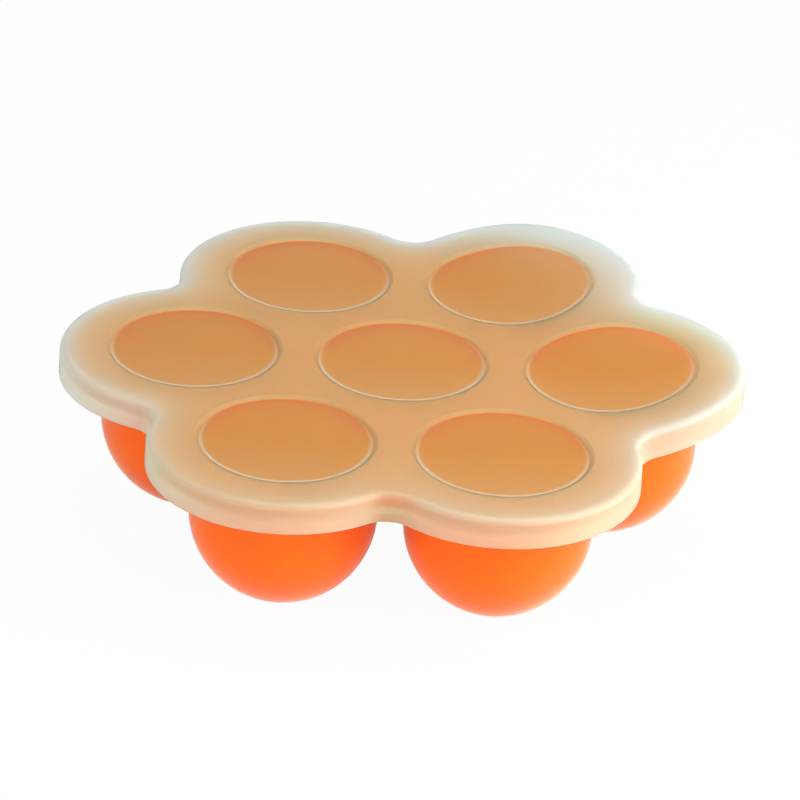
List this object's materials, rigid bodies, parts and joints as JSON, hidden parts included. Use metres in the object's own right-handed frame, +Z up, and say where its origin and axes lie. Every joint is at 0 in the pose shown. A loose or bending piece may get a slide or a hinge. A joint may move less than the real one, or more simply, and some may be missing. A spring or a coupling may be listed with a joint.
{
  "type": "baby food freezer tray",
  "caption": "Flower-shaped soft tray with round-bottomed cups for freezing portions of baby food, under a press-on translucent lid with a dished disc over each cup; one side isn't pressed home.",
  "frame": {"origin": "centre of the middle cup's standing flat, on the surface that the tray stands on", "axes": "+Z up, through the middle cup and the lid; +X along the longest width, through two opposite cups"},
  "size_m": [0.2176, 0.1998, 0.0576],
  "materials": {
    "silicone": "matte orange silicone",
    "frosted_plastic": "frosted translucent polypropylene, with smoother discs"
  },
  "bodies": {
    "tray": {"tray_deck": "silicone", "tray_cup_0": "silicone", "tray_cup_1": "silicone", "tray_cup_2": "silicone", "tray_cup_3": "silicone", "tray_cup_4": "silicone", "tray_cup_5": "silicone", "tray_cup_6": "silicone"},
    "lid": {"lid": "frosted_plastic"}
  },
  "joints": [
    {"name": "lid_lift", "type": "slide", "parent": "tray", "child": "lid", "axis": [0, 0, 1], "range_m": [0, 0.08]}
  ]
}
